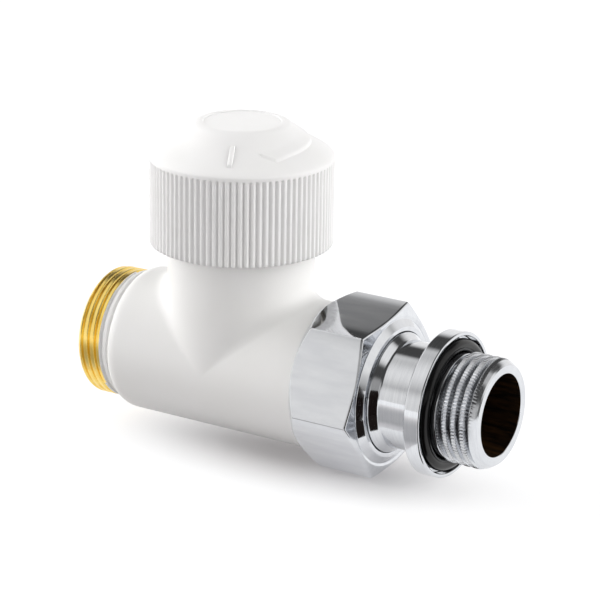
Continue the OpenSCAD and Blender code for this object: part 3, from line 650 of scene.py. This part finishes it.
# the rows of the bore itself are bare brass, with painted shade in their colour
front = np.array(front)
bored = (front[:-1, 1] < bore_r + 0.05) & (front[1:, 1] < bore_r + 0.05)
tail_tables = [
    (turned(front, tail_angles), bored.astype(int)),
    (thread(tail_angles, outline, outlet_pitch, outlet_start, tail_end, root_r, outlet_trim, phase=0.3), 2),
]
tail = weld("tail_piece_turned", tail_tables, [turned_chrome, bore_brass_painted_shade, threaded_chrome], sharp=36)
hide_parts("tail_piece")
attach(tail, "tail")


# FLANGE SEAL
# Black O-ring in the flange's recess. It seals against the radiator's face.

seal_wire = 1.25
seal_angles = np.linspace(0, 2 * math.pi, 33)
outline = [(75.21 + seal_wire + seal_wire * math.cos(a), 11.25 + seal_wire * math.sin(a)) for a in seal_angles]
seal = weld("flange_seal_ring", [(turned(outline, angles), 0)], [nitrile])
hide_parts("flange_seal")
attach(seal, "tail")


# STUDIO
# A pale floor without an edge, and a surrounding with soft light panels: a large one front left, one on the right, low
# ones to the left and right, two small dim ones on the camera's side and a pale backdrop behind. The side that the
# camera stands on stays dim.

floor_z = -0.0171
floor_half = 3.0
floor_mesh = bpy.data.meshes.new("studio_floor")
floor_mesh.from_pydata([(x * floor_half, y * floor_half, floor_z) for x, y in ((-1, -1), (1, -1), (1, 1), (-1, 1))],
                       [], [(0, 1, 2, 3)])
floor = bpy.data.objects.new("studio_floor", floor_mesh)
bpy.context.scene.collection.objects.link(floor)
# under the object the camera and mirrors see a white floor that takes the object's shadow. Past it they see grey that
# glows up to white, painted light that lifts the outer shadow and hides the floor's edge. All other light meets a plain
# light grey floor.
floor_with_painted_glow, shader = new_material("studio_floor_with_painted_glow", 0.6, Specular_IOR_Level=0.2)
place = node(floor_with_painted_glow, "ShaderNodeTexCoord")
oval = node(floor_with_painted_glow, "ShaderNodeMapping", {"Location": (-0.02, 0, -floor_z), "Scale": (0.45, 1, 1)},
            {"Vector": place.outputs["Object"]})
from_middle = node(floor_with_painted_glow, "ShaderNodeVectorMath", {"operation": "LENGTH"}, {0: oval.outputs["Vector"]})
far = node(floor_with_painted_glow, "ShaderNodeMapRange", {"interpolation_type": "SMOOTHSTEP", "From Min": 0.003, "From Max": 0.023},
           {"Value": from_middle.outputs["Value"]})
card = node(floor_with_painted_glow, "ShaderNodeMix", {"data_type": "RGBA", 6: linear("#f2f0f1"), 7: linear("#7d7e80")},
            {0: far.outputs[0]})
rays = node(floor_with_painted_glow, "ShaderNodeLightPath")
# painted light: the glow that the camera and mirrors see rises from 0.03 under the object to 0.85 past it, and lifts
# the outer part of the shadow
white = node(floor_with_painted_glow, "ShaderNodeMapRange", {"To Min": 0.03, "To Max": 0.85}, {"Value": far.outputs[0]})
eyes = node(floor_with_painted_glow, "ShaderNodeMath", {"operation": "ADD"},
            {0: rays.outputs["Is Camera Ray"], 1: rays.outputs["Is Glossy Ray"]})
eyes = node(floor_with_painted_glow, "ShaderNodeMath", {"operation": "ADD"},
            {0: eyes.outputs[0], 1: rays.outputs["Is Transmission Ray"]})
seen = node(floor_with_painted_glow, "ShaderNodeMath", {"operation": "MULTIPLY"}, {0: eyes.outputs[0], 1: white.outputs[0]})
unseen = node(floor_with_painted_glow, "ShaderNodeMix", {"data_type": "RGBA", 6: linear("#b0aeaf")},
              {0: eyes.outputs[0], 7: card.outputs[2]})
shader.inputs["Emission Color"].default_value = (1, 1, 1, 1)
floor_with_painted_glow.node_tree.links.new(unseen.outputs[2], shader.inputs["Base Color"])
floor_with_painted_glow.node_tree.links.new(seen.outputs[0], shader.inputs["Emission Strength"])
floor_mesh.materials.append(floor_with_painted_glow)

# sheets lie round the object that only mirrors see and that block no light: painted reflections. A black one right of
# it, bent up at its end, edges the chrome in black, and a grey one in front tones the lower sides of chrome and brass
reflection_sheets = [
    ("black_painted_reflection", "#1a1210", [(0.072, -0.0155, 0), (0.076, -0.0115, 0), (0.084, -0.0115, 0), (0.092, -0.0195, 0),
                               (0.092, -0.0195, 0.025), (0.078, -0.04, 0.025), (0.078, -0.04, 0), (0.072, -0.03, 0)],
     [(0, 1, 2, 3, 6, 7), (3, 4, 5, 6)]),
    ("grey_painted_reflection", "#b6b6b8", [(-0.09, -0.12, 0), (0.068, -0.12, 0), (0.068, -0.017, 0), (-0.09, -0.017, 0)], [(0, 1, 2, 3)]),
]
for name, colour, corners, faces in reflection_sheets:
    mesh = bpy.data.meshes.new(name)
    mesh.from_pydata([(x, y, floor_z + 0.0002 + z) for x, y, z in corners], [], faces)
    piece = bpy.data.objects.new(name, mesh)
    bpy.context.scene.collection.objects.link(piece)
    card, shader = new_material("matt_" + name, 0.9, Specular_IOR_Level=0.1)
    # the grey one fades into the white floor from 45 to 120 mm in front of the object, and close to it; the black one
    # stays its colour all over
    place = node(card, "ShaderNodeTexCoord")
    axes = node(card, "ShaderNodeSeparateXYZ", links={0: place.outputs["Object"]})
    front_fade = node(card, "ShaderNodeMapRange", {"interpolation_type": "SMOOTHSTEP", "From Min": -0.12, "From Max": -0.045},
                      {"Value": axes.outputs["Y"]})
    near_fade = node(card, "ShaderNodeMapRange", {"interpolation_type": "SMOOTHSTEP", "From Min": -0.017, "From Max": -0.026},
                     {"Value": axes.outputs["Y"]})
    both = node(card, "ShaderNodeMath", {"operation": "MULTIPLY"}, {0: front_fade.outputs[0], 1: near_fade.outputs[0]})
    share = 1.0 if name == "black_painted_reflection" else None
    tone = node(card, "ShaderNodeMix", {"data_type": "RGBA", 6: linear("#f2f0f1"), 7: linear(colour)},
                {} if share else {0: both.outputs[0]})
    if share:
        tone.inputs[0].default_value = share
    card.node_tree.links.new(tone.outputs[2], shader.inputs["Base Color"])
    mesh.materials.append(card)
    for ray in ("camera", "diffuse", "shadow", "transmission", "volume_scatter"):
        setattr(piece, "visible_" + ray, False)

# each panel: bearing and height of its middle, half its width and height, width of its soft edge (degrees), strength
panels = [
    (-164, 32, 29, 18, 22, 2.7),
    (18, 27, 13, 17, 24, 3.9),
    (-146, 5, 46, 8, 16, 1.7),
    (-67, 16, 14, 10, 12, 0.5),
    (-44, 12, 12, 10, 8, 0.4),
    (16, 5, 14, 8, 14, 1.2),
    (122, 4, 60, 14, 20, 0.8),
]
dim = 0.07
world = bpy.data.worlds.new("studio_surrounding")
bpy.context.scene.world = world
world.use_nodes = True
background = world.node_tree.nodes["Background"]
background.inputs["Color"].default_value = linear("#fefdfc")
place = node(world, "ShaderNodeTexCoord")
axes = node(world, "ShaderNodeSeparateXYZ", links={0: place.outputs["Generated"]})
bearing = node(world, "ShaderNodeMath", {"operation": "ARCTAN2"}, {0: axes.outputs["Y"], 1: axes.outputs["X"]})
height = node(world, "ShaderNodeMath", {"operation": "ARCSINE"}, {0: axes.outputs["Z"]})
total = None
for middle_bearing, middle_height, half_width, half_height, fade, strength in panels:
    shares = []
    for source, middle, half in ((bearing, middle_bearing, half_width), (height, middle_height, half_height)):
        off = node(world, "ShaderNodeMath", {"operation": "SUBTRACT", 1: math.radians(middle)}, {0: source.outputs[0]})
        off = node(world, "ShaderNodeMath", {"operation": "WRAP", 1: math.pi, 2: -math.pi}, {0: off.outputs[0]})
        off = node(world, "ShaderNodeMath", {"operation": "ABSOLUTE"}, {0: off.outputs[0]})
        shares.append(node(world, "ShaderNodeMapRange", {
            "interpolation_type": "SMOOTHSTEP", "From Min": math.radians(half + fade), "From Max": math.radians(half),
            "To Min": 0.0, "To Max": 1.0}, {"Value": off.outputs[0]}))
    share = node(world, "ShaderNodeMath", {"operation": "MULTIPLY"}, {0: shares[0].outputs[0], 1: shares[1].outputs[0]})
    previous = {2: total.outputs[0]} if total else {}
    total = node(world, "ShaderNodeMath", {"operation": "MULTIPLY_ADD", 1: strength, 2: dim},
                 {0: share.outputs[0], **previous})
# mirrors see the panels no brighter than white, as a film would. The backdrop, which is the last panel, is plain
# white to them, and the camera sees white all round.
rays = node(world, "ShaderNodeLightPath")
turned_down = node(world, "ShaderNodeMath", {"operation": "MULTIPLY", 1: -1.0}, {0: total.outputs[0]})
shade = node(world, "ShaderNodeMath", {"operation": "EXPONENT"}, {0: turned_down.outputs[0]})
film = node(world, "ShaderNodeMath", {"operation": "SUBTRACT", 0: 1.0}, {1: shade.outputs[0]})
mirrored = node(world, "ShaderNodeMix", {"data_type": "FLOAT"},
                {0: rays.outputs["Is Glossy Ray"], 2: total.outputs[0], 3: film.outputs[0]})
through = node(world, "ShaderNodeMath", {"operation": "ADD"},
               {0: rays.outputs["Is Glossy Ray"], 1: rays.outputs["Is Transmission Ray"]})
white_seen = node(world, "ShaderNodeMath", {"operation": "MULTIPLY_ADD", "use_clamp": True},
                  {0: through.outputs[0], 1: share.outputs[0], 2: rays.outputs["Is Camera Ray"]})
level = node(world, "ShaderNodeMix", {"data_type": "FLOAT", 3: 1.0},
             {0: white_seen.outputs[0], 2: mirrored.outputs[0]})
world.node_tree.links.new(level.outputs[0], background.inputs["Strength"])


# CAMERA
# The place and the lens come from fitting the drawing's circles and edges to the photograph.

azimuth, elevation, roll = map(math.radians, (31.625, 18.723, 0.816))
distance = 0.517093
target = Vector((0.043083, 0.0, 0.014016))
back = Vector((math.sin(azimuth) * math.cos(elevation), -math.cos(azimuth) * math.cos(elevation), math.sin(elevation)))
right = Vector((math.cos(azimuth), math.sin(azimuth), 0))
up = back.cross(right)
axis_x = right * math.cos(roll) + up * math.sin(roll)
axis_y = up * math.cos(roll) - right * math.sin(roll)
camera_data = bpy.data.cameras.new("photo_camera")
camera_data.sensor_width = 36
camera_data.lens = 2735.113 / 600 * 36
camera_data.clip_start = 0.01
camera = bpy.data.objects.new("photo_camera", camera_data)
bpy.context.scene.collection.objects.link(camera)
camera.matrix_world = Matrix((
    (axis_x[0], axis_y[0], back[0], 0), (axis_x[1], axis_y[1], back[1], 0),
    (axis_x[2], axis_y[2], back[2], 0), (0, 0, 0, 1),
))
camera.location = target + back * distance
bpy.context.scene.camera = camera
bpy.context.scene.view_settings.view_transform = "Standard"
